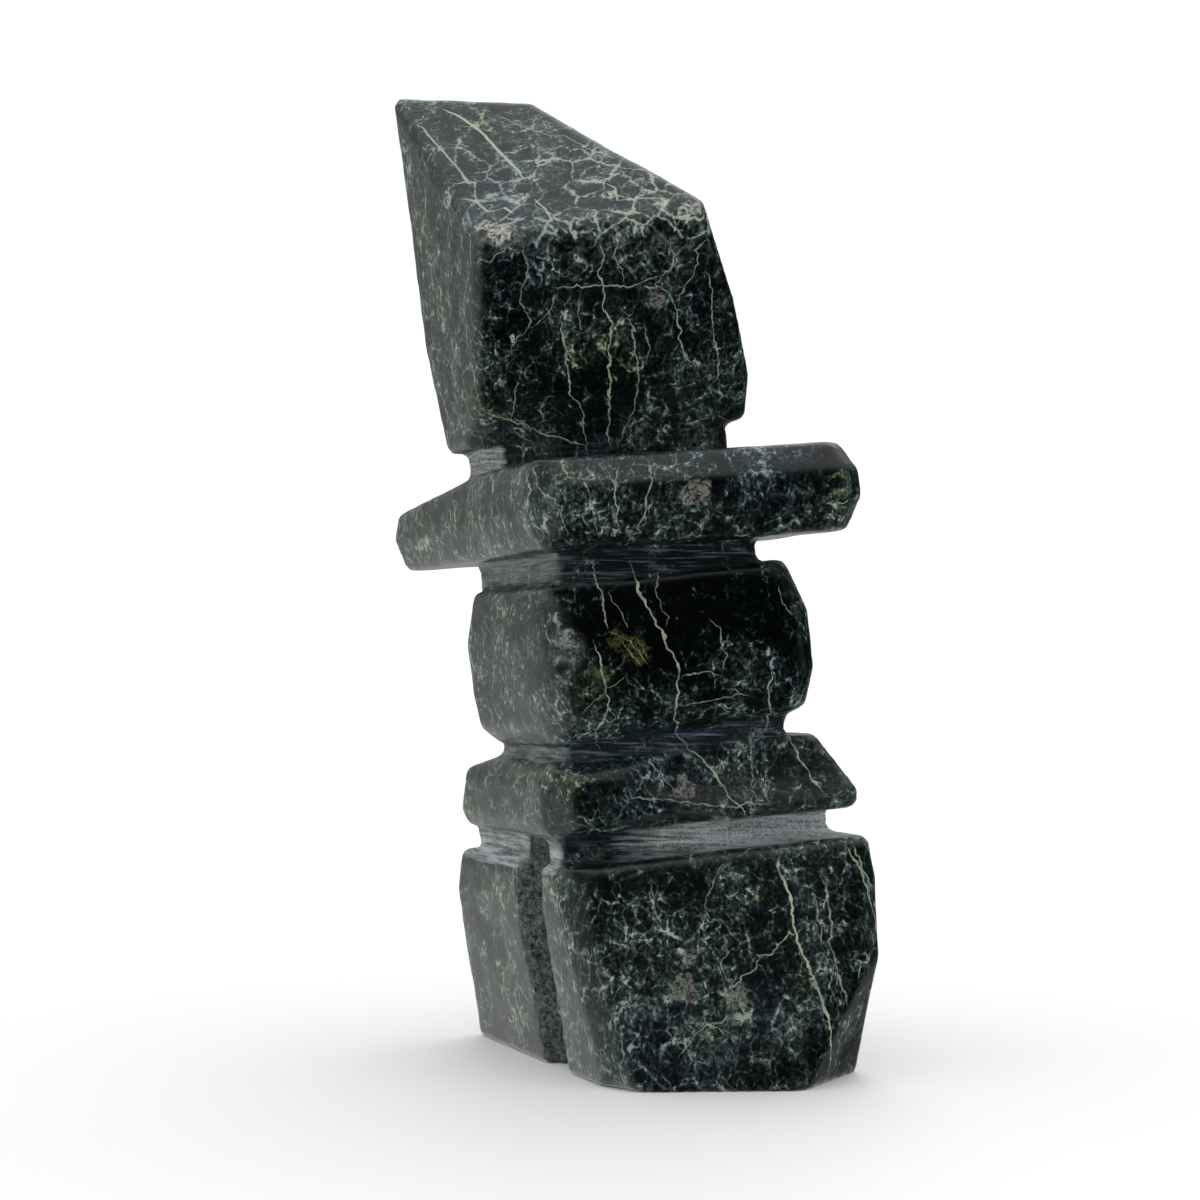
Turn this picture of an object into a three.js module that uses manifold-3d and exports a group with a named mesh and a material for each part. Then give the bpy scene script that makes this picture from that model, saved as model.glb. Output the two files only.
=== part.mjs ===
// An inukshuk: a standing figure of piled stones, carved from one block of dark green serpentine.
// Six stones lie on each other with hand-sawn grooves between them, and a slot parts the two legs.
// Millimetres, +Z up. The arms spread along X, the figure's front faces -Y, and the foot is at z = 0.
// The stones are laid out in the leaning pile's own axes: x across from the far side to the near
// side, v from front to back along the grooves, and w up along the lean.
import * as THREE from 'three';
import { ConvexGeometry } from 'three/addons/geometries/ConvexGeometry.js';
import { mergeVertices } from 'three/addons/utils/BufferGeometryUtils.js';
import Module from 'manifold-3d';

// The pile as a whole
const LEAN = 6.8; // degrees that the pile leans forward
const SIDE_TURN = 20; // degrees that the near side's faces turn towards the front
const EDGE_RADIUS = 1.8; // worn edges of the stones
const NECK_EDGE_RADIUS = 0.8; // edges inside the grooves
const NECK_SINK = 4.5; // how far a neck runs into the stones above and below it
const BACK_CORNER_SLOPE = 0.7; // across over along, on the cut of the near back corner

// Heights up the lean, from the foot to the crown
const LEGS_HEIGHT = 40.2;
const KNEE_GROOVE = 4.6;
const HIPS_HEIGHT = 13.6;
const WAIST_GROOVE = 3.2;
const TORSO_HEIGHT = 27.8;
const CHEST_GROOVE = 5.8;
const ARMS_HEIGHT = 15.8;
const THROAT_GROOVE = 4.4;
const HEAD_HEIGHT = 34.8; // at the near front corner of the slanted crown

// The crown is one slanted cut that falls from the far side to the near side, and rises to the back
const CROWN_FALL_ACROSS = 0.95;
const CROWN_RISE_BACK = 0.42;

// The slot between the legs, which flares at both mouths and mostly into the far leg
const SLOT_WIDTH = 6;
const SLOT_OFFSET = 9.5; // its middle at the foot, from the middle of the legs' front
const SLOT_LEAN = 2; // how far its middle has moved to the far side at the hips
const SLOT_MOUTH_DEPTH = 6;
const SLOT_FLARE_FAR = 7;
const SLOT_FLARE_NEAR = 1;
const SLOT_OVERRUN = 5; // how far the cut runs out past the faces

// The stones. Width is that of the front face, depth runs from front to back, middle is the front
// face's middle across, and front is where that face stands. Each ring is a level of the stone, as
// a share of its height, with the millimetres by which each face is drawn in there. backCorner is
// the length of the cut on the near back corner, and fallBack is how steeply a ring drops backwards.
const legs = {
  height: LEGS_HEIGHT, width: 69, depth: 52.5, middle: -1.5, front: -25.3,
  rings: [
    { at: -0.12, far: 1.5, near: 0, front: 2, back: 3.5, backCorner: 19 },
    { at: 0.07, far: 0.5, near: 0.5, front: 1.3, back: 3, backCorner: 17 },
    { at: 0.47, far: 0, near: 7, front: 0.7, back: 1, backCorner: 5 },
    { at: 0.8, far: 0.5, near: 10.3, front: 0.2, back: 0, backCorner: 3 },
    { at: 0.95, far: 3, near: 11.3, front: 0.6, back: -0.2, backCorner: 3 },
    { at: 1, far: 8, near: 15, front: 3, back: 4, backCorner: 3 },
  ],
};
const hips = {
  height: HIPS_HEIGHT, width: 52, depth: 51.5, middle: -1.5, front: -25.3,
  rings: [
    { at: 0, far: 0.3, near: 5.5, front: 0.5, back: 3.5, backCorner: 2 },
    { at: 0.25, far: 0, near: 3, front: 0, back: 0.4, backCorner: 2, fallBack: 0.03 },
    { at: 0.76, far: 4, near: 1.5, front: 0, back: 1, backCorner: 2, fallBack: 0.15 },
    { at: 1, far: 13, near: 5, front: 2, back: 4, backCorner: 3 },
  ],
  // Old breaks on the near face: a long scoop down to a ledge and a hollow under it. Each is a ball
  // of these radii. run is its middle's distance back along the face, height is over the stone's
  // foot, and out is proud of the face.
  breaks: [
    { run: 25, height: 20, out: 29.4, radii: { across: 36, along: 49.6, up: 36 } },
    { run: 19, height: 0.4, out: -3.5, radii: { across: 4.5, along: 11, up: 2.2 } },
  ],
};
const torso = {
  height: TORSO_HEIGHT, width: 43.5, depth: 44, middle: 4.6, front: -24.3,
  rings: [
    { at: -0.02, far: 4.8, near: 7, front: 1.5, back: 3, backCorner: 3 },
    { at: 0.12, far: 1, near: 3, front: 0.4, back: 0.5, backCorner: 3 },
    { at: 0.32, far: 0, near: 0.5, front: 0, back: 0, backCorner: 3 },
    { at: 0.66, far: 0, near: 0, front: 0, back: 0.3, backCorner: 3 },
    { at: 1, far: 4, near: 1, front: 0.6, back: 2, backCorner: 3.5 },
  ],
};
const arms = {
  height: ARMS_HEIGHT, width: 79.5, depth: 54.3, middle: -8.2, front: -26.3,
  rings: [
    { at: 0, far: 2, near: 1.5, front: 1, back: 1.5, backCorner: 4, fallBack: 0.04 },
    { at: 0.42, far: 0, near: 0, front: 0, back: 0, backCorner: 4, fallBack: 0.045 },
    { at: 0.63, far: 3, near: 0, front: 0, back: 0, backCorner: 4, fallBack: 0.045 },
    { at: 1, far: 45, near: 2, front: 1.2, back: 1, backCorner: 4, fallBack: 0.05 },
  ],
};
// The head's near front edge is bevelled off towards its foot: bevel is the cut along the front
// face and bevelRun the cut along the side. farBack and farBackCut move in the far back corner.
const head = {
  height: HEAD_HEIGHT, width: 39, depth: 48.2, middle: -3.9, front: -25.3,
  rings: [
    { at: 0, far: 9.5, near: 12.1, back: 1.5, backCorner: 1, bevel: 5, bevelRun: 15 },
    { at: 0.24, far: 8, near: 9.3, back: 1.5, backCorner: 1 },
    { at: 0.62, far: 4.5, near: 5, back: 4.6, backCorner: 1, farBackCut: 3 },
    { at: 1, near: 0.5, back: 9.5, backCorner: 1, farBack: 15.5, farBackCut: 15.8, crown: true },
  ],
};

// The grooves up the pile. The neck in each is drawn in from the sides of one of its stones.
const grooves = [
  { height: KNEE_GROOVE, of: hips, neck: { far: 0.5, near: 8.5, front: 3, back: 2.5, backCorner: 3 } },
  { height: WAIST_GROOVE, of: torso, neck: { far: 3.4, near: 7.4, front: 4, back: 3.2, backCorner: 1 } },
  { height: CHEST_GROOVE, of: torso, neck: { far: 1.9, near: 1.1, front: 3.7, back: 6.7, backCorner: 3 } },
  {
    height: THROAT_GROOVE, of: head,
    neck: { far: 13.8, near: 11.4, front: 2.8, back: 3.9, backCorner: 3, bevel: 4, bevelRun: 12 },
  },
];

const MERGE_TOLERANCE = 1e-4;
const SHARPEST_INSET = 0.5; // least cosine used when a corner is moved inwards
const BALL_DETAIL = 1;
const BREAK_COLUMNS = 48;
const BREAK_ROWS = 32;
const GROUND_SIDE = 400;

const wasm = await Module();
wasm.setup();

const sideTangent = Math.tan(THREE.MathUtils.degToRad(SIDE_TURN));

function solidOf(geometry) {
  const bare = geometry.index ? geometry.toNonIndexed() : geometry.clone();
  bare.deleteAttribute('normal');
  bare.deleteAttribute('uv');
  const merged = mergeVertices(bare, MERGE_TOLERANCE);
  return new wasm.Manifold(new wasm.Mesh({
    numProp: 3,
    vertProperties: new Float32Array(merged.attributes.position.array),
    triVerts: new Uint32Array(merged.index.array),
  }));
}

function geometryOf(solid) {
  const mesh = solid.getMesh();
  const geometry = new THREE.BufferGeometry();
  geometry.setAttribute('position', new THREE.BufferAttribute(new Float32Array(mesh.vertProperties), 3));
  geometry.setIndex(new THREE.BufferAttribute(new Uint32Array(mesh.triVerts), 1));
  return geometry;
}

// The corners of one level of a stone in order around it, seen from above: the far front corner,
// the near front corner or its bevel, the near back corner's cut, and the far back corner
function ringCorners(stone, ring) {
  const front = stone.front + (ring.front ?? 0);
  const back = stone.front + stone.depth - ring.back;
  const far = stone.middle - stone.width / 2 + (ring.far ?? 0);
  const near = stone.middle + stone.width / 2 - ring.near;
  const bevel = ring.bevel ?? 0;
  const corners = [new THREE.Vector2(far, front), new THREE.Vector2(near - bevel, front)];
  if (bevel > 0) {
    corners.push(new THREE.Vector2(near + ring.bevelRun * sideTangent, front + ring.bevelRun));
  }
  const sideEnd = back - ring.backCorner;
  const sideAcross = near + (sideEnd - front) * sideTangent;
  corners.push(new THREE.Vector2(sideAcross, sideEnd));
  corners.push(new THREE.Vector2(sideAcross - BACK_CORNER_SLOPE * ring.backCorner, back));
  corners.push(new THREE.Vector2(far + (ring.farBack ?? 0), back - (ring.farBackCut ?? 0)));
  return corners;
}

// The same corners moved inwards, so that balls on them touch the stone's faces
function insetCorners(corners, distance) {
  return corners.map((corner, index) => {
    const before = corners[(index + corners.length - 1) % corners.length];
    const after = corners[(index + 1) % corners.length];
    const arriving = new THREE.Vector2().subVectors(corner, before).normalize();
    const leaving = new THREE.Vector2().subVectors(after, corner).normalize();
    const inwards = new THREE.Vector2(-arriving.y, arriving.x);
    const bisector = new THREE.Vector2(-leaving.y, leaving.x).add(inwards).normalize();
    const reach = distance / Math.max(bisector.dot(inwards), SHARPEST_INSET);
    return corner.clone().addScaledVector(bisector, reach);
  });
}

// A block with worn edges: the hull of small balls on the corners of its levels
function wornBlock(levels, radius) {
  const ball = new THREE.IcosahedronGeometry(radius, BALL_DETAIL).attributes.position;
  const points = [];
  for (const { corners, heightAt } of levels) {
    for (const corner of insetCorners(corners, radius)) {
      const centre = new THREE.Vector3(corner.x, corner.y, heightAt(corner));
      for (let index = 0; index < ball.count; index += 1) {
        points.push(new THREE.Vector3().fromBufferAttribute(ball, index).add(centre));
      }
    }
  }
  return solidOf(new ConvexGeometry(points));
}

function carveStone(stone, foot) {
  const levels = stone.rings.map((ring, index) => {
    const corners = ringCorners(stone, ring);
    const near = corners[1];
    let height = foot + stone.height * ring.at;
    if (index === 0) {
      height += EDGE_RADIUS;
    }
    if (index === stone.rings.length - 1) {
      height -= EDGE_RADIUS;
    }
    const fallAcross = ring.crown ? CROWN_FALL_ACROSS : 0;
    const riseBack = ring.crown ? CROWN_RISE_BACK : -(ring.fallBack ?? 0);
    const heightAt = (corner) => height - fallAcross * (corner.x - near.x) + riseBack * (corner.y - near.y);
    return { corners, heightAt };
  });
  let block = wornBlock(levels, EDGE_RADIUS);
  for (const scoop of stone.breaks ?? []) {
    block = block.subtract(carveBreak(stone, scoop, foot));
  }
  return block;
}

function carveBreak(stone, { run, height, out, radii }, foot) {
  const ball = new THREE.SphereGeometry(1, BREAK_COLUMNS, BREAK_ROWS);
  ball.scale(radii.across, radii.along, radii.up);
  ball.rotateZ(THREE.MathUtils.degToRad(-SIDE_TURN));
  const across = stone.middle + stone.width / 2 + run * sideTangent + out;
  ball.translate(across, stone.front + run, foot + height);
  return solidOf(ball);
}

function carveNeck(groove, foot) {
  const corners = ringCorners(groove.of, groove.neck);
  const levels = [foot - NECK_SINK, foot + groove.height + NECK_SINK].map((height) => ({
    corners,
    heightAt: () => height,
  }));
  return wornBlock(levels, NECK_EDGE_RADIUS);
}

// The slot runs from front to back and up to the underside of the hips
function carveSlot() {
  const top = LEGS_HEIGHT + KNEE_GROOVE;
  const frontFace = legs.front + legs.rings[0].front;
  const backFace = legs.front + legs.depth - legs.rings[0].back;
  const prism = (planBetween) => {
    const points = [];
    for (const height of [-SLOT_OVERRUN, top]) {
      const middle = legs.middle + SLOT_OFFSET - SLOT_LEAN * (height / top);
      for (const [across, along] of planBetween(middle - SLOT_WIDTH / 2, middle + SLOT_WIDTH / 2)) {
        points.push(new THREE.Vector3(across, along, height));
      }
    }
    return solidOf(new ConvexGeometry(points));
  };
  const passage = prism((far, near) => [
    [far, frontFace - SLOT_OVERRUN], [near, frontFace - SLOT_OVERRUN],
    [near, backFace + SLOT_OVERRUN], [far, backFace + SLOT_OVERRUN],
  ]);
  const mouth = (outside, inside) => prism((far, near) => [
    [far - SLOT_FLARE_FAR, outside], [near + SLOT_FLARE_NEAR, outside],
    [near, inside], [far, inside],
  ]);
  return passage
    .add(mouth(frontFace - SLOT_OVERRUN, frontFace + SLOT_MOUTH_DEPTH))
    .add(mouth(backFace + SLOT_OVERRUN, backFace - SLOT_MOUTH_DEPTH));
}

// The stones and the necks between them, from the foot up
function pileStones() {
  let block = carveStone(legs, 0);
  let foot = LEGS_HEIGHT;
  [hips, torso, arms, head].forEach((stone, index) => {
    block = block.add(carveNeck(grooves[index], foot));
    foot += grooves[index].height;
    block = block.add(carveStone(stone, foot));
    foot += stone.height;
  });
  return block;
}

// The pile leans forward, and its foot is ground flat
function leanAndGround(block) {
  const leaning = geometryOf(block).rotateX(THREE.MathUtils.degToRad(LEAN));
  const ground = new THREE.BoxGeometry(GROUND_SIDE, GROUND_SIDE, GROUND_SIDE);
  ground.translate(0, 0, -GROUND_SIDE / 2);
  return geometryOf(solidOf(leaning).subtract(solidOf(ground)));
}

const geometry = leanAndGround(pileStones().subtract(carveSlot()));
geometry.computeBoundingBox();
const centre = geometry.boundingBox.getCenter(new THREE.Vector3());
geometry.translate(-centre.x, -centre.y, 0);
geometry.computeVertexNormals();

const serpentine = new THREE.MeshStandardMaterial({ color: 0x2a322d, roughness: 0.35, metalness: 0 });
const inukshuk = new THREE.Mesh(geometry, serpentine);
inukshuk.name = 'inukshuk';

const figure = new THREE.Group();
figure.add(inukshuk);

export default figure;
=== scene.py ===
"""An inukshuk carved from one block of dark green serpentine, standing on a pale studio floor.

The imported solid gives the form. A fine copy of it is worn and cut here as a carver's files and saws
leave the stone, and gets its veins, mottling and polish. Lengths below are millimetres, and places
are the part's own, unless a comment says otherwise.
"""

import math

import bmesh
import bpy
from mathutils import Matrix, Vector, noise


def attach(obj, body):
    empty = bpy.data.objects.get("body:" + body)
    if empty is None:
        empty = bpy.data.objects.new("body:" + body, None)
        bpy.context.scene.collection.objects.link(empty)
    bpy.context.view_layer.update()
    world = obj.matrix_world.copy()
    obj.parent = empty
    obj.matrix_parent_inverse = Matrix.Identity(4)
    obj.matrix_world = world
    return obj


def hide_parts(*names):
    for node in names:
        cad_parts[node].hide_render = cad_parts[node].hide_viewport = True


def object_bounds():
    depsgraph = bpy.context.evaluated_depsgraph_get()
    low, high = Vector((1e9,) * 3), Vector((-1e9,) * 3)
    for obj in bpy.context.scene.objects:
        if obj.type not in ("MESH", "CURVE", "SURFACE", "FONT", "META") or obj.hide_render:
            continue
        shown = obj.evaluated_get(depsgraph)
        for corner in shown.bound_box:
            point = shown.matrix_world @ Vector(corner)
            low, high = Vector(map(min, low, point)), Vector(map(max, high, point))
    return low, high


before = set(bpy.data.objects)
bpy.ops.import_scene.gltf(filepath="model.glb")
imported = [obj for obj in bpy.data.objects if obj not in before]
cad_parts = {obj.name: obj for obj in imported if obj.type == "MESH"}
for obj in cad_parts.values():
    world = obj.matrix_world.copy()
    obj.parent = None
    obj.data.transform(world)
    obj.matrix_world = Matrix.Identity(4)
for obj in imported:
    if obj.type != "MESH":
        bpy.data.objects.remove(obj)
cad_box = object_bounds()

MM = 0.001
STONE = "inukshuk"

# The pile of stones leans forward. Its own axes are across, along the grooves, and up the lean, and its
# near side widens by this slope towards the back.
LEAN = math.radians(6.8)
PILE_FOOT = Vector((-0.85, 11.49, 0))
SIDE_SLOPE = math.tan(math.radians(20))
# The ways straight out of the near side and out of the crown
NEAR_WAY = Vector((0.94, -0.34, 0))
CROWN_WAY = Vector((0.67, -0.25, 0.7))

# The fine copy: how close two corners are one, the size of its faces, and how it is rubbed down
WELD = 0.01
VOXEL = 0.8
SMOOTHINGS = 1
SMOOTHING = 0.5
EDGE_PASSES = 110

# A hollow, cloud or soft edge is full within this share of its reach, and a cloud fades out at the
# larger one
CORE = 0.3
FRINGE = 1.3

# The sawn grooves: levels up the lean, the sides of the neck left standing in each, how far the saw
# marks reach out past the neck, and how much pale dust and how many scores its front and near side have.
# The scores also lay a dark coat that is painted shade, and the near side's dust is laid with painted shade.
GROOVES = {
    "knee": {
        "foot": 38.6, "top": 45.2, "far": -27, "near": 16, "front": -22.3, "back": 23.7, "reach": 4.5,
        "dust": 0.8, "near_dust_and_shade": 1.15, "front_scores_and_shade": 0, "near_scores_and_shade": 0.6,
    },
    "waist": {
        "foot": 58, "top": 62, "far": -13.8, "near": 19, "front": -20.3, "back": 16.5, "reach": 2.6,
        "dust": 0.4, "near_dust_and_shade": 0.05, "front_scores_and_shade": 0.5, "near_scores_and_shade": 1,
    },
    "chest": {
        "foot": 89.2, "top": 95.4, "far": -15.3, "near": 25.2, "front": -20.6, "back": 13, "reach": 1.2,
        "dust": 0.3, "near_dust_and_shade": 0, "front_scores_and_shade": 0.8, "near_scores_and_shade": 0.6,
    },
    "throat": {
        "foot": 110.8, "top": 115.6, "far": -9.6, "near": 4.2, "front": -22.5, "back": 19, "reach": 1.6,
        "dust": 0.8, "near_dust_and_shade": 0, "front_scores_and_shade": 0, "near_scores_and_shade": 0.2,
    },
}
# The marks fade over this much at a groove's lips and over this much where they run out on the faces
LIP_FADE = 0.4
MARKS_FADE = 0.8
# Along a neck's near side, dust starts at the first distance from its front and is thickest at the
# second, which paints shade and light: dark near the front, pale towards the back
NEAR_DUST_SHADE_FADE = (-2, 30)

# The slot between the legs: its middle and how far that leans over its height, its half width, how far
# the pitted walls reach beyond that on the far and the near leg, and how far a wall is turned to the side
SLOT = {
    "middle": 8, "lean": 2, "half": 3, "far_reach": 8, "near_reach": 2, "top": 45.4, "fade": 0.5,
    "turn": (0.35, 0.6),
}

# The near front edges that are rounded over: levels up the lean, the edge's place across at the foot
# and at the top, where the front stands, and how far round the edge it is rubbed down
SOFT_EDGES = {
    "legs": {"foot": 0, "top": 39.5, "near": 32, "near_top": 21.5, "front": -24.8, "reach": 6},
    "hips": {"foot": 45, "top": 57, "near": 20, "near_top": 21.5, "front": -24.8, "reach": 5.5},
    "torso": {"foot": 62, "top": 88.5, "near": 24, "near_top": 26, "front": -24, "reach": 14},
    "arms": {"foot": 96, "top": 110.5, "near": 31.5, "near_top": 31.5, "front": -26.2, "reach": 5.5},
}
# How far a place stands out from those round it, as a share of a face, where an edge starts to look
# rubbed and where it is rubbed through. The paler edges are partly rubbing and partly a painted highlight.
RUBBED_AND_HIGHLIT = (0.05, 0.14)

# The flaw on the torso's near corner: a shallow granular bowl with a pit in it, painted dark as shade
FLAW = {"place": Vector((26.2, -19.6, 75)), "radius": 4.6, "depth": 0.4, "grain": 1.3, "roughness": 0.6}
PIT = {"place": Vector((25.9, -19.5, 72)), "radius": 2, "depth": 1.4}

# Lumps left by hand work, as (size, depth), and saw lines, whose sizes run across, along and up the pile
SWELL = (15, 0.28)
RIPPLE = (4, 0.07)
SLOT_LUMPS = (2, 0.8)
SAW_LINES = {"sizes": (9, 30, 1.3), "depth": 0.3}

# The healed cracks that show as pale veins. Each is a sheet through the block, drawn where it meets
# one side: its half width, its strength, and its course as points (height, place from front to back)
# on the near side
UPRIGHT_VEINS = {
    "head_middle": (0.15, 0.85, [
        (147, -11), (144, -10), (142, -10.5), (139, -9.3), (136, -9), (133, -7), (129, -7), (123.5, -6),
        (118, -5.3), (111.5, -4.4),
    ]),
    "head_shoulder": (0.11, 0.55, [(150, -9), (147, -8), (144, -8.3), (142, -6.3), (140, -6.2)]),
    "head_front": (0.11, 0.55, [
        (147, -24), (142.6, -22.6), (136.3, -22.8), (134, -21), (132.5, -20.8), (130.5, -22.6),
        (127, -24),
    ]),
    "head_right": (0.14, 0.75, [
        (148, 0.5), (144.7, 1.9), (142.5, 1.4), (140, -1), (138.3, 2), (133.8, 4.1), (130.4, 4.8),
        (126.5, 6.7),
    ]),
    "head_right_twig": (0.13, 0.55, [(148, 7.4), (145.7, 5.4), (143.5, 6), (140.3, 4.7), (137.2, 3.4)]),
    "head_edge": (0.12, 0.7, [
        (142.6, 7.5), (139.9, 8.8), (133.9, 9.7), (130.5, 10.7), (128, 11.8), (124.8, 12.3),
        (122, 11.5),
    ]),
    "head_long": (0.12, 0.7, [
        (136, -5.8), (134, -4.1), (130.8, -3.1), (124.6, -1.3), (119.5, -1), (116.2, -1.6),
        (111.6, -3.3),
    ]),
    "head_short": (0.09, 0.55, [(133.7, -2), (130.8, -0.9), (126.9, 0.2)]),
    "head_left": (0.14, 0.8, [
        (134.6, -16), (128.6, -14.2), (121, -12.6), (119.7, -10.8), (117.6, -9.4), (114.4, -9),
        (111, -8),
    ]),
    "head_left_twig": (0.09, 0.55, [(137.6, -13.2), (134.2, -12.8), (132, -12.1)]),
    "head_slant": (0.09, 0.55, [(138, -17.3), (135.2, -17.7), (132.5, -20)]),
    "head_foot": (0.09, 0.55, [(123.4, -21.7), (120.5, -21.6), (116.6, -21.7)]),
    "arm_middle": (0.12, 0.7, [(106.4, -12.5), (103, -14.2), (100, -13.9), (94.9, -13.3)]),
    "arm_right": (0.12, 0.65, [(107.7, -7.8), (101, -8.9), (95, -9.8)]),
    "arm_left": (0.11, 0.55, [(106.4, -25.7), (102.7, -25.6), (98.6, -22.6), (97, -22.5), (94.6, -20.7)]),
    "torso_left": (0.12, 0.7, [(90.5, -14.2), (88.8, -14.6), (85.5, -13.4), (80.3, -13), (78.3, -12.7)]),
    "torso_twig": (0.09, 0.55, [(85.2, -12.4), (83.3, -12), (81.4, -10.3), (78.6, -9.1)]),
    "torso_foot": (0.13, 0.8, [
        (77, -15), (74.2, -13.9), (68.8, -12.8), (66.6, -11.9), (61.9, -12), (60.8, -12.6),
        (56.8, -9.9),
    ]),
    "torso_to_hips": (0.18, 0.85, [
        (91, -8.4), (85.2, -7.3), (80.3, -5.2), (75.6, -2.8), (71.8, -0.8), (69, -1), (63, -0.3),
        (60.4, 2.2), (57.6, 4.5), (53.8, 8), (49.9, 9.7), (44.9, 13.8),
    ]),
    "torso_thin": (0.08, 0.55, [(89, -3.7), (84.4, -4.6), (82.2, -4.2), (80.5, -2.5), (78.9, -3.5)]),
    "torso_edge": (0.1, 0.55, [(86.1, 14.9), (83.6, 15.4), (80.8, 17.4)]),
    "torso_slant": (0.08, 0.55, [(80.5, 4), (78.1, 5.3), (74, 6.6), (71.5, 6.3)]),
    "waist_to_hips": (0.15, 0.8, [
        (71.8, 13.9), (66.8, 14.6), (61.2, 17.3), (59.8, 21.2), (57.3, 21.9), (52.4, 23.9),
        (49.3, 25.8),
    ]),
    "hips_left": (0.12, 0.7, [(56.3, -3.6), (54.4, -2.4), (50.8, 0.7)]),
    "hips_right": (0.1, 0.55, [(53.9, 16), (50.8, 15.5), (48.1, 16.6)]),
    "leg_middle": (0.22, 1, [
        (39.5, 17.5), (36.9, 17.3), (31.3, 18.9), (27.9, 18.5), (22.7, 19.6), (16.4, 21.5), (9.4, 23.3),
        (1, 25.5),
    ]),
    "leg_edge": (0.2, 0.9, [(41, 28.5), (36, 31.1), (32.8, 31.8), (30.2, 33.1), (24.8, 34.6)]),
    "leg_edge_twin": (0.14, 0.7, [(41, 29.8), (36.8, 31.2), (33.3, 33.3)]),
    "leg_right": (0.15, 0.6, [(35.7, 24.7), (27.9, 24.8), (23.8, 24.3), (18.4, 25.3), (13.5, 26.7)]),
    "leg_right_thin": (0.11, 0.55, [(33.5, 22.3), (29.3, 22.6), (27.1, 23.3), (23.8, 22.7)]),
    "leg_left": (0.12, 0.55, [(38.3, 8.5), (35.2, 6.4), (30.8, 4.6), (28.5, 5.4)]),
    "leg_corner": (0.12, 0.55, [(34.8, -3.7), (31.6, -3.3), (27.3, -2.7)]),
    "leg_short": (0.1, 0.55, [(26, 7.6), (22.8, 7.5), (21.2, 6.5), (17.8, 7.2)]),
}
# Gold veinlets on the torso, drawn in the same way
GOLD_VEINS = {
    "gold_outer": (0.12, 0.9, [(78.2, -12.7), (77.2, -11), (76.3, -8.9), (74.6, -7.4), (72.5, -6.2)]),
    "gold_inner": (0.09, 0.7, [(76.3, -10.3), (74.8, -9), (73.2, -7.8), (72, -7.1)]),
    "gold_crest": (0.08, 0.6, [(77.2, -8.1), (75.3, -6.9), (73.2, -5.9)]),
    "gold_foot": (0.1, 0.6, [(74.1, -9.4), (72.9, -10.2), (71.7, -11.1)]),
    "gold_branch": (0.12, 0.9, [(70.3, -9.8), (69.3, -10.7), (68.3, -12.4)]),
    "gold_low": (0.1, 0.7, [(67.9, -12.8), (66.5, -13.7), (65.3, -14.8), (63.6, -15.7)]),
}
# The same on the near side for those that run from front to back: (place, height)
LEVEL_VEINS = {
    "head_low": (0.15, 0.8, [
        (-26.6, 118.4), (-24.3, 117.1), (-19.8, 116), (-15.8, 114.1), (-13.6, 113.8), (-8.4, 111.8),
    ]),
    "head_cross": (0.12, 0.6, [(-18, 138.9), (-14, 139.4), (-6.5, 139.4), (-3.6, 139.7), (0.6, 142)]),
    "head_corner": (0.12, 0.55, [(-31, 143.4), (-29, 143.4), (-27.5, 144.6), (-25.2, 146.8)]),
    "head_branch": (0.09, 0.55, [(-21.3, 115.7), (-18.9, 113.7), (-17.5, 113.1), (-16, 110.1)]),
    "torso_wisp": (0.09, 0.55, [(-0.5, 70.8), (1.7, 70.8), (4, 71.2), (6.1, 70.4)]),
    "torso_low_wisp": (0.11, 0.55, [(0.1, 65.3), (4.8, 66.3), (9.6, 67.4), (11.8, 67.1)]),
    "hips_ledge": (0.15, 0.5, [
        (-9.2, 51.8), (-6.7, 49.4), (-1.4, 49.2), (3.7, 48.3), (10.7, 47.7), (13, 48.6), (16.6, 48.1),
    ]),
    "leg_branch": (0.15, 0.7, [
        (6.5, 16.5), (8.4, 17.8), (9.6, 19.1), (11.7, 20.2), (12.8, 22.5), (14.6, 22.8), (17.6, 26.1),
        (19, 25.7),
    ]),
    "leg_foot": (0.14, 0.55, [(-2.5, 5.6), (-0.6, 7.4), (0.9, 9.7), (3.9, 11.3), (7.3, 12.6)]),
}
# On the front, (height, place from the far side to the near side)
FRONT_VEINS = {
    "head_far": (0.12, 0.35, [(172.6, -14), (164.9, -15.7), (156.6, -16.1), (150, -17.3), (131, -17.8)]),
    "head_near": (0.12, 0.6, [
        (156.5, 4.1), (152.5, 7), (147.8, 10.9), (143.9, 10.1), (138.1, 4.9), (134.3, 3.6),
        (123.5, 5.5), (118, 5.2),
    ]),
    "arm_corner": (0.13, 0.8, [
        (106.6, 27.9), (105.5, 25.7), (102, 27.2), (99.2, 26.5), (96.1, 23.7), (94, 24.8), (91.9, 28.6),
    ]),
}
# On the crown, (place from the far side to the near side, place from front to back)
CROWN_VEINS = {
    "crown_middle": (0.22, 1, [
        (-14, -28.5), (-10.6, -26), (-5.8, -23.6), (-1.5, -22.4), (5, -20.5), (8.1, -19.9),
    ]),
    "crown_front": (0.16, 0.8, [
        (-13.5, -33.9), (-12.3, -32.8), (-8.4, -31.9), (-0.7, -29.7), (4, -28.7),
    ]),
    "crown_back": (0.1, 0.55, [
        (-8.2, -20.7), (-3, -16.9), (1.7, -13), (3.3, -10.4), (7.6, -7.8), (13, -3.5),
    ]),
    "crown_rim": (0.2, 0.9, [(5, -31.4), (7, -29), (10.3, -27.9), (11, -25), (13.2, -24)]),
    "crown_right": (0.16, 0.8, [(16, -7.6), (17.8, -6.5), (20.1, -7.1), (21.5, -3.9), (24.3, 0.8)]),
    "crown_fork": (0.15, 0.8, [(12, -19.8), (15.2, -18.8), (18, -18.6)]),
}

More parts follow.
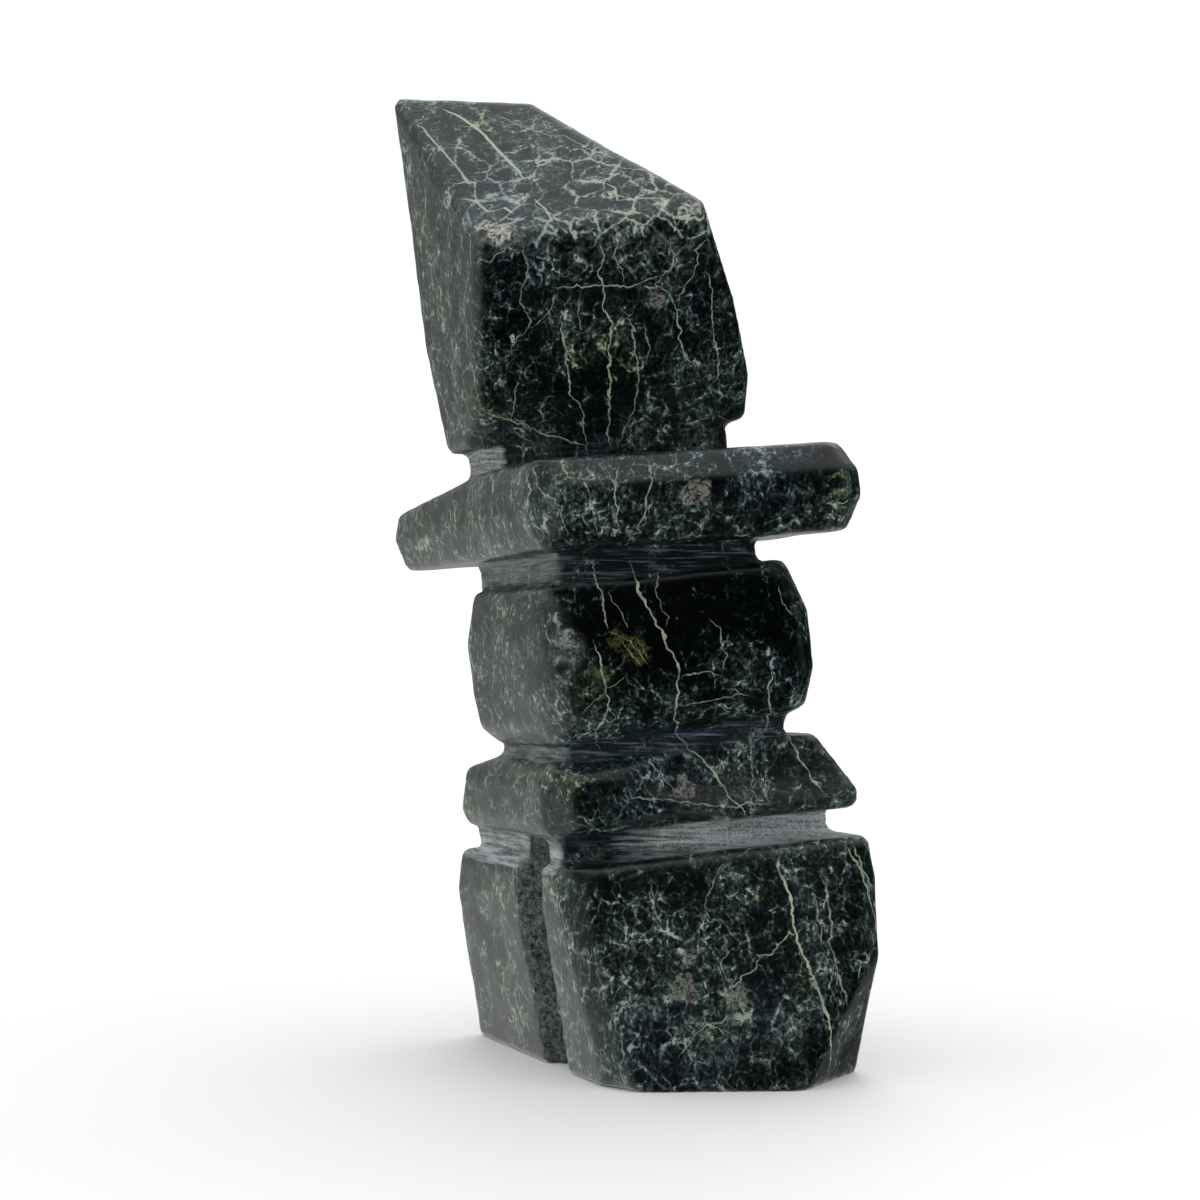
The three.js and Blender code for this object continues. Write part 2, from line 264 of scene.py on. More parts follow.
# Clumps of coarse grains in the stone, as (place, radius)
CLUMPS = {
    "white_clumps": [
        ((10.6, -21.9, 156), 2), ((15.1, -27.3, 148.8), 2.8), ((12.6, -29.3, 150), 2),
        ((18.2, -8.1, 156.2), 1.8), ((24.6, -0.8, 153.9), 1.8), ((28, 3.5, 152.7), 2.6),
        ((10.9, -23.5, 130.5), 1),
    ],
    "pink_clumps": [
        ((32.1, -0.3, 17), 3.2), ((35.8, 8.2, 15.7), 3), ((39.9, -1, 101.8), 3.4), ((35.1, -10, 95), 1.2),
        ((27.5, 2.5, 51), 2.6), ((21.4, -0.3, 137.3), 2.4), ((31.8, 1.4, 21.8), 1.8),
    ],
    "grey_clumps": [
        ((26, -20, 76.6), 2.8), ((25, -21.4, 80.1), 2), ((25, -21, 73.4), 2.2),
    ],
    "gold_clumps": [
        ((30.2, -8, 74.6), 3), ((29, -11, 76.4), 2.4), ((27.7, -14, 70.4), 2.2), ((22.9, -17.5, 52.6), 2.2),
        ((5.4, -22.4, 117.5), 1.8),
    ],
}
# Clouds where the stone is tinted olive, as (place, radius)
OLIVE_CLOUDS = [
    ((34, 14.4, 31.9), 2), ((39.4, 19.5, 19.1), 1.6), ((40.2, 19.3, 15.7), 1.6), ((14.4, -8, 125.3), 8),
    ((47.9, 20.5, 103.2), 5), ((22.9, -17.8, 51), 4.5), ((37.5, -4.4, 96.4), 1.2), ((28.5, -15, 69), 5),
    ((29.8, -9, 75.5), 3.4),
]
# Wide fields that are paler or darker than the rest, as (how much paler, [(place, radius), ...])
FIELDS = {
    "calm": (-0.5, [
        ((33, 2, 84), 11), ((28, -10, 84), 9), ((36, 12, 83), 7), ((27, -13, 79), 6), ((31, -2, 77), 7),
    ]),
    "dim": (-0.16, [
        ((9, -25, 136), 9), ((12, -18, 122), 9), ((14, -8, 119), 9), ((20, 12, 136), 8), ((29, -9, 69), 8),
        ((34, 4, 69), 6), ((26, -12, 32), 6), ((36, 2, 34), 8), ((39, 15, 74), 8), ((40, 0, 104), 5),
    ]),
    "lively": (0.16, [((36, 2, 7), 9), ((34, -8, 12), 8), ((41, 12, 12), 7)]),
}
# Painted light: the stone is made paler where it is turned this far to the front
FRONT_PAINTED_LIGHT = 0.08
FRONT_LIGHT_TURN = (0.5, 0.9)

# What the fine mesh keeps for the material to read: wear, fields and clouds, and where light and shade are
# painted
WORN = ("sawn", "scored_and_shaded", "pitted", "flawed", "rubbed_and_highlit", "pit_and_shade", "shade", "olive")

# Cloudy patterns, as (size, share of the noise where they begin, share where they are full, octaves,
# roughness). The stone's own flakes and the finest scratches are under 0.1 across and would not show,
# so the smallest patterns here are drawn as coarse as 0.5 to 0.9.
BLOTCHES = {
    "grains": (0.7, 0.3, 0.7, 2, 0.8),
    "lumps": (3, 0.34, 0.66, 2, 0.7),
    "fields": (8, 0.36, 0.6, 0, 0.6),
    "breaks": (1.4, 0.4, 0.58, 1, 0.6),
    "gaps": (4, 0.44, 0.56, 0, 0.6),
    "blue": (20, 0.5, 0.62, 0, 0.6),
    "olive": (17, 0.56, 0.7, 1, 0.6),
    "coarse_grains": (0.8, 0.4, 0.58, 2, 0.9),
    "patches": (4, 0.5, 0.6, 1, 0.6),
    "rags": (1.7, 0.3, 0.7, 1, 0.6),
    "stretches": (2.2, 0.3, 0.62, 1, 0.6),
    "saw_lines": (0.7, 0.36, 0.64, 2, 0.7),
    "scratches": (0.5, 0.54, 0.7, 1, 0.6),
    "grit": (0.5, 0.4, 0.64, 2, 0.7),
    "slot_grit": (0.9, 0.36, 0.66, 3, 0.8),
}
# Nets of cells, as (size, width of their edges)
CELLS = {"threads": (3.1, 0.34), "strands": (4.4, 0.24), "crackle": (6.5, 0.36)}
# Beds of the stone, as (the way out to them, the distance where they begin, the one where they are full)
BEDS = {
    "crown": (CROWN_WAY, 119.5, 121),
    "below_crown": (CROWN_WAY, 121.2, 120.2),
    "rim_height": (CROWN_WAY, 117.5, 121),
    "rim_side": (NEAR_WAY, 12, 19),
    "near_half": (NEAR_WAY, 2, 12),
}
# How far the patterns are shifted to and fro, as (size of the lumps, reach)
STIRRED = (2, 0.42)
JAGGED = (0.8, 0.1)
STIR_OCTAVES = 2
# Noise lies round this middle, and stays this close to it
NOISE_MIDDLE = 0.5
NOISE_REACH = 0.25
# The stone's leaves: how they are turned, and how far a pattern is drawn out along them
LEAVES_TURN = (0, 0, math.radians(-20))
LEAVES_STRETCH = (0.45, 1, 1.7)
# Saw marks are drawn out level, so their pattern runs this much slower across and along than up
SAWN_STRETCH = (0.07, 0.07, 1)

# How much each pattern adds to how pale the mass is
DARKEST = -0.05
PALER = {
    "grains": 0.48, "grains_in_fields": 0.14, "lumps": 0.22, "fields": 0.1, "threads": 0.28, "strands": 0.36,
    "shade": 1, "crackle": 0.28, "crackle_on_crown": 0.45, "lumps_on_crown": 0.14,
}
# The mass from its darkest to its palest, as (how pale, colour)
MASS = [
    (0.16, "#020505"), (0.32, "#050f10"), (0.46, "#121f1f"), (0.6, "#283736"), (0.75, "#475751"),
    (0.9, "#6e7c72"), (1, "#979d91"),
]
# What lies over the mass, as (colour, strength). The first three tint it.
COATS = {
    "blue": ("#c6daff", 0.5),
    "olive": ("#f2fb9a", 0.35),
    "olive_clouds": ("#f2f490", 0.6),
    "rim_bed": ("#6d6a63", 0.7),
    "white_clumps": ("#bab8ab", 0.8),
    "pink_clumps": ("#8f8c80", 0.5),
    "grey_clumps": ("#8e9190", 0.75),
    "gold_clumps": ("#4c4d27", 0.55),
    # Painted shade in the flaw's pit
    "pit_and_shade": ("#040606", 0.95),
    "gold_veins": ("#868a55", 0.9),
    "veins": ("#a4ad97", 0.9),
    "crown_veins": ("#a4ad97", 1),
    # Paler edges, partly rubbed and partly a painted highlight
    "rubbed_and_highlit_rim": ("#989c92", 0.5),
    "rubbed_and_highlit": ("#4d5957", 0.25),
    # Painted shade: a dark coat in the scored grooves
    "scored_and_shaded": ("#1a222c", 0.6),
    "scratches": ("#5f6e80", 0.6),
    "dust_lines": ("#b6bdc0", 0.75),
    "dust_grit": ("#d6dbdd", 0.45),
    "flaw": ("#767a7e", 0.6),
    "slot_grit": ("#6c7470", 1),
}
# Saw dust and the slot's hollows, each under its own grit, and how well they cover the stone
DUST = "#5a6063"
DUST_COVER = 0.85
SLOT_HOLLOWS = "#020303"
SLOT_COVER = 0.9
# A clump is torn by rags of this strength, and kept where the sum passes between the two shares
RAGGEDNESS = 0.7
CLUMP_EDGE = (0.75, 1.1)
# A vein tapers over this share of its length, counted from each end to its middle, and is never
# fainter than this
VEIN_MIDDLE = 0.5
VEIN_TAPER = 0.12
FAINTEST = 0.4
# The crown's veins run straighter: they take this share of the shift
CROWN_SHIFT = 0.25
# Dust frays along the saw lines by this much, and covers where the sum passes between the two shares
FRAYING = 0.4
DUSTY = (0.45, 1.15)
# How rough the waxed stone is, how rough where its mass is calmest, and how rough where it is sawn
WAXED = 0.32
WAXED_CALM = 0.22
SAWN = 0.85
CALMEST = -0.5
SERPENTINE_IOR = 1.52
# How deep the finest marks look: the height of one step of relief, how many steps each kind of mark
# has, and the strength of them all
RELIEF = {"sawn": 3, "scored_and_shaded": 2, "pitted": 4, "height": 0.04, "strength": 0.6}

# The photograph's viewing angle: low, on the figure's near side, and looking slightly up
CAMERA = {
    "place": Vector((375.3, -161.2, 69.8)), "turn": math.radians(67), "pitch": math.radians(2.08),
    "lens": 66, "sensor": 36,
}
# The white tent that the polish mirrors. Its heights are sines of the angle above the horizon, and its
# dark opening lies round the near side.
TENT = {
    "horizon": "#b1b2ab", "zenith": "#fbfdff", "below": "#e6e7e2", "opening": "#0b0d0f",
    "rise": (0.3, 0.9), "fall": (0, -0.25), "opening_height": (0.85, 0.45),
    "opening_way": (0.85, 0.53, 0), "opening_side": (-0.5, 0.4), "strength": 1,
}
# The plain light all round, and the wide lamp above
ROOM = {"colour": "#ffffff", "strength": 1.05}
LAMP = {"strength": 0.35, "size": math.radians(50), "turn": (math.radians(-25), math.radians(-35), 0)}
# The floor is in metres
FLOOR = {"radius": 6, "sides": 64, "colour": "#fdfdfb", "roughness": 0.6}


def linear(hex_colour):
    """The linear colour of an sRGB hex value, by the sRGB curve"""
    shares = [int(hex_colour[i:i + 2], 16) / 255 for i in (1, 3, 5)]
    return [s / 12.92 if s <= 0.04045 else ((s + 0.055) / 1.055) ** 2.4 for s in shares] + [1]


def add(tree, kind, settings=None, inputs=None):
    """A node with its settings, its values and its links"""
    node = tree.nodes.new(kind)
    for name, value in (settings or {}).items():
        setattr(node, name, value)
    for name, value in (inputs or {}).items():
        if isinstance(value, bpy.types.NodeSocket):
            tree.links.new(value, node.inputs[name])
        else:
            node.inputs[name].default_value = value
    return node


def smooth_step(value, low, high):
    """A share that eases from 0 at the low value to 1 at the high one"""
    share = min(max((value - low) / (high - low), 0), 1)
    return share * share * (3 - 2 * share)


def in_pile(point):
    """A point of the part, in metres, along the pile's own axes in millimetres"""
    local = point / MM - PILE_FOOT
    along = local.y * math.cos(LEAN) + local.z * math.sin(LEAN)
    up = local.z * math.cos(LEAN) - local.y * math.sin(LEAN)
    return local.x, along, up


def fine_copy():
    """The solid as an even net of small faces"""
    mesh = bpy.data.meshes.new(STONE)
    block = bmesh.new()
    block.from_mesh(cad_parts[STONE].data)
    bmesh.ops.remove_doubles(block, verts=block.verts, dist=WELD * MM)
    block.to_mesh(mesh)
    block.free()
    draft = bpy.data.objects.new("draft", mesh)
    bpy.context.scene.collection.objects.link(draft)
    remesh = draft.modifiers.new("even net", "REMESH")
    remesh.mode = "VOXEL"
    remesh.voxel_size = VOXEL * MM
    evaluated = draft.evaluated_get(bpy.context.evaluated_depsgraph_get())
    net = bpy.data.meshes.new_from_object(evaluated)
    bpy.data.objects.remove(draft)
    return net


def edge_softness(across, along, up):
    """How much a place near a rounded edge is rubbed down, from 0 to 1"""
    share = 0
    for edge in SOFT_EDGES.values():
        height = (up - edge["foot"]) / (edge["top"] - edge["foot"])
        if not 0 <= height <= 1:
            continue
        near = edge["near"] + (edge["near_top"] - edge["near"]) * height
        distance = math.hypot(across - near, along - edge["front"])
        share = max(share, smooth_step(distance, edge["reach"], CORE * edge["reach"]))
    return share


def smooth(block, verts):
    """One pass of rubbing down"""
    bmesh.ops.smooth_vert(
        block, verts=verts, factor=SMOOTHING, use_axis_x=True, use_axis_y=True, use_axis_z=True,
    )


def rub_down(block):
    """The edges worn a little all over, and the soft ones rounded well over"""
    for _ in range(SMOOTHINGS):
        smooth(block, block.verts)
    softness = [(vert, edge_softness(*in_pile(vert.co))) for vert in block.verts]
    for count in range(EDGE_PASSES):
        smooth(block, [vert for vert, share in softness if share * EDGE_PASSES > count])


def groove_marks(across, along, up):
    """How much saw dust and how many scores a place has, each from 0 to 1. Both carry painted shade: the
    scores lay a dark coat, and a near side's dust thins out towards its front
    """
    dust, scores_and_shade = 0, 0
    for groove in GROOVES.values():
        near = groove["near"] + (along - groove["front"]) * SIDE_SLOPE
        outside = max(
            groove["far"] - across, across - near, groove["front"] - along, along - groove["back"],
        )
        level = min(up - groove["foot"], groove["top"] - up)
        depth = smooth_step(level, -LIP_FADE, LIP_FADE)
        depth *= smooth_step(groove["reach"] - outside, 0, MARKS_FADE)
        # The near side of a groove begins at the neck's near front corner
        side = smooth_step(along - groove["front"] - near + across, -MARKS_FADE, MARKS_FADE)
        # Painted shade: the near side's dust thins out towards its front, which leaves the groove dark there
        near_dust_and_shade = groove["near_dust_and_shade"] * smooth_step(along - groove["front"], *NEAR_DUST_SHADE_FADE)
        dust = max(dust, depth * (groove["dust"] + (near_dust_and_shade - groove["dust"]) * side))
        front_scores_and_shade = groove["front_scores_and_shade"]
        scores_and_shade = max(scores_and_shade, depth * (front_scores_and_shade + (groove["near_scores_and_shade"] - front_scores_and_shade) * side))
    return dust, scores_and_shade


def slot_share(across, up, normal):
    """How far a place lies on a wall of the slot between the legs, from 0 to 1"""
    middle = SLOT["middle"] - SLOT["lean"] * up / SLOT["top"]
    from_far = across - middle + SLOT["half"] + SLOT["far_reach"]
    from_near = middle + SLOT["half"] + SLOT["near_reach"] - across
    fade = SLOT["fade"]
    return (
        smooth_step(min(from_far, from_near), -fade, fade)
        * smooth_step(SLOT["top"] - up, -fade, fade)
        * smooth_step(abs(normal.x), *SLOT["turn"])
    )


def rubbed_and_highlit_share(vert):
    """How sharply the stone turns at a place, from 0 on the flat to 1 on an edge"""
    round_about = [edge.other_vert(vert).co for edge in vert.link_edges]
    middle = sum(round_about, Vector()) / len(round_about)
    bulge = (vert.co - middle).dot(vert.normal) / (VOXEL * MM)
    return smooth_step(bulge, *RUBBED_AND_HIGHLIT)


def bowl_share(place, hollow):
    """How deep a place lies in a round hollow, from 0 to 1"""
    return smooth_step((place - hollow["place"]).length, hollow["radius"], CORE * hollow["radius"])


def field_share(place, spots):
    """How deep a place lies in the round fields, from 0 to 1"""
    return max(
        smooth_step((place - Vector(centre)).length, FRINGE * radius, CORE * radius)
        for centre, radius in spots
    )


def note_wear_and_painted_light(vert, layers):
    """What was done to the stone at a place, its wide field, and where light and shade are painted"""
    place = vert.co / MM
    across, along, up = in_pile(vert.co)
    # The grooves' dust and scores, both carrying painted shade
    vert[layers["sawn"]], vert[layers["scored_and_shaded"]] = groove_marks(across, along, up)
    vert[layers["pitted"]] = slot_share(across, up, vert.normal)
    vert[layers["flawed"]] = bowl_share(place, FLAW)
    # Edges laid paler, partly as rubbing and partly as a painted highlight
    vert[layers["rubbed_and_highlit"]] = rubbed_and_highlit_share(vert)
    # The pit, whose shade is painted dark
    vert[layers["pit_and_shade"]] = bowl_share(place, PIT)
    fields = sum(paler * field_share(place, spots) for paler, spots in FIELDS.values())
    # Faces turned to the front are painted paler, as the light they catch
    vert[layers["shade"]] = fields + FRONT_PAINTED_LIGHT * smooth_step(-vert.normal.y, *FRONT_LIGHT_TURN)
    vert[layers["olive"]] = field_share(place, OLIVE_CLOUDS)


def tool_depth(vert, layers):
    """How far the tools left a place above the solid's face, in millimetres: hand-ground faces, saw
    lines in the grooves, a lumpy slot and the flaw on the torso"""
    place = vert.co / MM
    across, along, up = in_pile(vert.co)
    groove = max(vert[layers["sawn"]], vert[layers["scored_and_shaded"]])
    pitted = vert[layers["pitted"]]
    polish = 1 - max(groove, pitted)
    move = polish * sum(depth * noise.noise(place / size) for size, depth in (SWELL, RIPPLE))
    long, wide, fine = SAW_LINES["sizes"]
    move += groove * SAW_LINES["depth"] * noise.noise(Vector((across / long, along / wide, up / fine)))
    size, depth = SLOT_LUMPS
    move += pitted * depth * noise.noise(place / size)
    grain = FLAW["roughness"] * noise.noise(place / FLAW["grain"])
    move += vert[layers["flawed"]] * (grain - FLAW["depth"]) - PIT["depth"] * vert[layers["pit_and_shade"]]
    return move


def wear(block):
    """Every mark noted on the smooth stone first, and then cut into it"""
    layers = {name: block.verts.layers.float.new(name) for name in WORN}
    for vert in block.verts:
        note_wear_and_painted_light(vert, layers)
    depths = [tool_depth(vert, layers) * MM for vert in block.verts]
    for vert, depth in zip(block.verts, depths):
        vert.co += vert.normal * depth


def keep_in_box(block):
    """No place stands out of the solid's own box"""
    low, high = cad_box
    for vert in block.verts:
        vert.co = Vector(min(max(c, a), b) for c, a, b in zip(vert.co, low, high))


def carve_stone():
    """The whole figure, as one worn block"""
    net = fine_copy()
    block = bmesh.new()
    block.from_mesh(net)
    rub_down(block)
    block.normal_update()
    wear(block)
    keep_in_box(block)
    for face in block.faces:
        face.smooth = True
    block.to_mesh(net)
    block.free()
    stone = bpy.data.objects.new("serpentine_figure", net)
    bpy.context.scene.collection.objects.link(stone)
    return stone


def place_camera():
    """At the photograph's angle: low, to the figure's near side, and looking slightly up"""
    data = bpy.data.cameras.new("camera")
    data.lens = CAMERA["lens"]
    data.sensor_width = CAMERA["sensor"]
    camera = bpy.data.objects.new("camera", data)
    bpy.context.scene.collection.objects.link(camera)
    camera.location = CAMERA["place"] * MM
    turn = CAMERA["turn"]
    pitch = CAMERA["pitch"]
    forward = Vector((
        -math.sin(turn) * math.cos(pitch), math.cos(turn) * math.cos(pitch), math.sin(pitch),
    ))
    camera.rotation_euler = forward.to_track_quat("-Z", "Y").to_euler()
    bpy.context.scene.camera = camera


def mirrored_tent(tree):
    """What the polish mirrors: a white tent, dimmer low down, and dark round the near side"""
    direction = add(tree, "ShaderNodeTexCoord").outputs["Generated"]
    height = add(tree, "ShaderNodeSeparateXYZ", {}, {"Vector": direction}).outputs["Z"]
    sideways = add(tree, "ShaderNodeVectorMath", {"operation": "DOT_PRODUCT"}, {
        0: direction, 1: TENT["opening_way"],
    }).outputs["Value"]
    part = {}
    for name, value in (
        ("rise", height), ("fall", height), ("opening_height", height), ("opening_side", sideways),
    ):
        start, end = TENT[name]
        part[name] = add(tree, "ShaderNodeMapRange", {"interpolation_type": "SMOOTHSTEP"}, {
            "Value": value, "From Min": start, "From Max": end,
        }).outputs["Result"]
    tent = lay(tree, linear(TENT["horizon"]), (TENT["zenith"], 1), part["rise"])
    tent = lay(tree, tent, (TENT["below"], 1), part["fall"])
    return lay(tree, tent, (TENT["opening"], 1), part["opening_side"], part["opening_height"])


def light_studio():
    """Plain white light all round, with a tent round the figure that only the polish shows"""
    world = bpy.data.worlds.new("tent")
    world.use_nodes = True
    # Rays that leave the stone find the world by themselves, so each kind sees its own part of it
    world.cycles.sampling_method = "NONE"
    tree = world.node_tree
    tree.nodes.clear()
    plain = add(tree, "ShaderNodeBackground", {}, {
        "Color": linear(ROOM["colour"]), "Strength": ROOM["strength"],
    })
    tent = add(tree, "ShaderNodeBackground", {}, {
        "Color": mirrored_tent(tree), "Strength": TENT["strength"],
    })
    glossy_ray = add(tree, "ShaderNodeLightPath").outputs["Is Glossy Ray"]
    mix = add(tree, "ShaderNodeMixShader", {}, {
        "Fac": glossy_ray, 1: plain.outputs["Background"], 2: tent.outputs["Background"],
    })
    add(tree, "ShaderNodeOutputWorld", {}, {"Surface": mix.outputs["Shader"]})
    bpy.context.scene.world = world
    hang_lamp()


def hang_lamp():
    """A wide soft lamp above, for the faint shadows under the stones and round the feet"""
    lamp = bpy.data.lights.new("overhead_lamp", "SUN")
    lamp.energy = LAMP["strength"]
    lamp.angle = LAMP["size"]
    sun = bpy.data.objects.new("overhead_lamp", lamp)
    sun.rotation_euler = LAMP["turn"]
    bpy.context.scene.collection.objects.link(sun)


def white_board():
    """Matt painted board: an even white that takes the figure's soft shadow"""
    material = bpy.data.materials.new("white_board")
    material.use_nodes = True
    shader = material.node_tree.nodes["Principled BSDF"]
    shader.inputs["Base Color"].default_value = linear(FLOOR["colour"])
    shader.inputs["Roughness"].default_value = FLOOR["roughness"]
    return material


def lay_floor():
    """The board that the figure stands on, out past the camera's view"""
    data = bpy.data.meshes.new("floor")
    disc = bmesh.new()
    bmesh.ops.create_circle(disc, cap_ends=True, radius=FLOOR["radius"], segments=FLOOR["sides"])
    disc.to_mesh(data)
    disc.free()
    floor = bpy.data.objects.new("floor", data)
    bpy.context.scene.collection.objects.link(floor)
    data.materials.append(white_board())
    # Glossy rays pass the floor by, so that the stone mirrors the tent alone
    floor.visible_glossy = False


def lay(tree, under, coat, *masks, blend="MIX"):
    """A coat, as (colour, strength), laid over what is under it where all the masks are"""
    over, share = coat
    if isinstance(over, str):
        over = linear(over)
    for mask in masks:
        share = add(tree, "ShaderNodeMath", {"operation": "MULTIPLY"}, {0: mask, 1: share}).outputs["Value"]
    return add(tree, "ShaderNodeMix", {"data_type": "RGBA", "blend_type": blend}, {
        "Factor": share, "A": under, "B": over,
    }).outputs["Result"]


def stir(tree, place, size, reach):
    """The places shifted to and fro by up to reach, in lumps of that size"""
    lumps = add(tree, "ShaderNodeTexNoise", {}, {"Vector": place, "Scale": 1 / size, "Detail": STIR_OCTAVES})
    centred = add(tree, "ShaderNodeVectorMath", {"operation": "SUBTRACT"}, {
        0: lumps.outputs["Color"], 1: (NOISE_MIDDLE,) * 3,
    })
    return add(tree, "ShaderNodeVectorMath", {"operation": "MULTIPLY_ADD"}, {
        0: centred.outputs["Vector"], 1: (reach / NOISE_REACH,) * 3, 2: place,
    }).outputs["Vector"]


def blotches(tree, place, kind):
    """One kind of cloudy blotches, as a mask"""
    size, low, high, octaves, roughness = BLOTCHES[kind]
    cloud = add(tree, "ShaderNodeTexNoise", {}, {
        "Vector": place, "Scale": 1 / size, "Detail": octaves, "Roughness": roughness,
    })
    return add(tree, "ShaderNodeMapRange", {}, {
        "Value": cloud.outputs["Fac"], "From Min": low, "From Max": high,
    }).outputs["Result"]


def cell_edges(tree, place, kind):
    """The edges of one kind of cells, as a mask that fades out over their width"""
    size, width = CELLS[kind]
    edge = add(tree, "ShaderNodeTexVoronoi", {"feature": "DISTANCE_TO_EDGE"}, {
        "Vector": place, "Scale": 1 / size,
    })
    return add(tree, "ShaderNodeMapRange", {}, {
        "Value": edge.outputs["Distance"], "From Min": width / size, "From Max": 0,
    }).outputs["Result"]


def clouds(tree, place, spots):
    """Round clouds at those places, as a mask"""
    mask = 0
    for centre, radius in spots:
        distance = add(tree, "ShaderNodeVectorMath", {"operation": "DISTANCE"}, {0: place, 1: centre})
        cloud = add(tree, "ShaderNodeMapRange", {"interpolation_type": "SMOOTHSTEP"}, {
            "Value": distance.outputs["Value"], "From Min": FRINGE * radius, "From Max": CORE * radius,
        })
        mask = add(tree, "ShaderNodeMath", {"operation": "MAXIMUM"}, {
            0: cloud.outputs["Result"], 1: mask,
        }).outputs["Value"]
    return mask


def bed(tree, place, kind):
    """How far a place lies inside one of the beds, as a mask"""
    way, starts, full = BEDS[kind]
    out = add(tree, "ShaderNodeVectorMath", {"operation": "DOT_PRODUCT"}, {0: place, 1: way})
    return add(tree, "ShaderNodeMapRange", {}, {
        "Value": out.outputs["Value"], "From Min": starts, "From Max": full,
    }).outputs["Result"]


def vein(tree, along, across, half_width, course):
    """A vein whose course gives its place across for each place along, tapered at its ends"""
    points = sorted(course)
    starts, ends = points[0][0], points[-1][0]
    lowest = min(point[1] for point in points)
    highest = max(point[1] for point in points)
    share = add(tree, "ShaderNodeMapRange", {}, {"Value": along, "From Min": starts, "From Max": ends})
    line = add(tree, "ShaderNodeFloatCurve", {}, {"Value": share.outputs["Result"]})
    curve = line.mapping.curves[0]
    for index, (station, place) in enumerate(points):
        spot = ((station - starts) / (ends - starts), (place - lowest) / (highest - lowest))
        if index == 0:
            curve.points[0].location = spot
        elif index == len(points) - 1:
            curve.points[-1].location = spot
        else:
            curve.points.new(*spot)
    for point in curve.points:
        point.handle_type = "VECTOR"
    line.mapping.update()
    middle = add(tree, "ShaderNodeMath", {"operation": "MULTIPLY_ADD"}, {
        0: line.outputs["Value"], 1: highest - lowest, 2: lowest,
    })
    # How far a place is from the nearer end of the vein, as a share of its length
    ending = add(tree, "ShaderNodeMath", {"operation": "PINGPONG"}, {
        0: share.outputs["Result"], 1: VEIN_MIDDLE,
    })
    taper = add(tree, "ShaderNodeMapRange", {}, {
        "Value": ending.outputs["Value"], "From Max": VEIN_TAPER, "To Max": half_width,
    })
    return add(tree, "ShaderNodeMath", {"operation": "COMPARE"}, {
        0: across, 1: middle.outputs["Value"], 2: taper.outputs["Result"],
    }).outputs["Value"]


def vein_set(tree, along, across, veins):
    """Several veins together, as a mask"""
    mask = 0
    for half_width, strength, course in veins.values():
        mask = add(tree, "ShaderNodeMath", {"operation": "MULTIPLY_ADD"}, {
            0: vein(tree, along, across, half_width, course), 1: strength, 2: mask,
        }).outputs["Value"]
    return mask


def lay_veins(tree, colour, place, stirred, crown):
    """Every listed vein, jagged as a crack is and paler in some stretches than in others"""
    jagged = add(tree, "ShaderNodeSeparateXYZ", {}, {"Vector": stir(tree, stirred, *JAGGED)})
    x, y, z = (jagged.outputs[axis] for axis in "XYZ")
    filled = add(tree, "ShaderNodeMapRange", {}, {
        "Value": blotches(tree, place, "stretches"), "To Min": FAINTEST, "To Max": 1,
    }).outputs["Result"]
    sets = (
        (z, y, GOLD_VEINS, "gold_veins"), (z, y, UPRIGHT_VEINS, "veins"), (y, z, LEVEL_VEINS, "veins"),
        (z, x, FRONT_VEINS, "veins"),
    )
    for along, across, veins, coat in sets:
        colour = lay(tree, colour, COATS[coat], vein_set(tree, along, across, veins), filled)
    calmer = add(tree, "ShaderNodeMix", {"data_type": "VECTOR"}, {
        "Factor": CROWN_SHIFT, "A": place, "B": stirred,
    })
    straight = add(tree, "ShaderNodeSeparateXYZ", {}, {"Vector": calmer.outputs["Result"]})
    crown_set = vein_set(tree, straight.outputs["X"], straight.outputs["Y"], CROWN_VEINS)
    return lay(tree, colour, COATS["crown_veins"], crown_set, crown)


def layered(tree, start, layers):
    """The sum of layers, each a mask and its share, and the masks that it is kept to"""
    total = start
    for mask, share, *gates in layers:
        for gate in gates:
            mask = add(tree, "ShaderNodeMath", {"operation": "MULTIPLY"}, {0: mask, 1: gate}).outputs["Value"]
        total = add(tree, "ShaderNodeMath", {"operation": "MULTIPLY_ADD"}, {
            0: mask, 1: share, 2: total,
        }).outputs["Value"]
    return total


def stone_mass(tree, place, stirred, crown, worn):
    """How pale the stone's mass is at each place, from 0 to 1: fine grains, broken threads round its
    cells, and livelier and calmer fields, all drawn out along the stone's leaves"""
    leafy = add(tree, "ShaderNodeMapping", {"vector_type": "TEXTURE"}, {
        "Vector": stirred, "Rotation": LEAVES_TURN, "Scale": LEAVES_STRETCH,
    }).outputs["Vector"]
    grains = blotches(tree, leafy, "grains")
    lumps = blotches(tree, stirred, "lumps")
    fields = blotches(tree, place, "fields")
    gaps = blotches(tree, place, "gaps")
    crackle = cell_edges(tree, stirred, "crackle")
    return layered(tree, DARKEST, [
        (grains, PALER["grains"]),
        (grains, PALER["grains_in_fields"], fields),
        (lumps, PALER["lumps"]),
        (fields, PALER["fields"]),
        (cell_edges(tree, stirred, "threads"), PALER["threads"], blotches(tree, place, "breaks")),
        (cell_edges(tree, leafy, "strands"), PALER["strands"], gaps),
        # The wide fields, and the front's painted light
        (worn["shade"], PALER["shade"]),
        (crackle, PALER["crackle"], gaps),
        (crackle, PALER["crackle_on_crown"], crown, bed(tree, place, "near_half")),
        (lumps, PALER["lumps_on_crown"], crown),
    ])


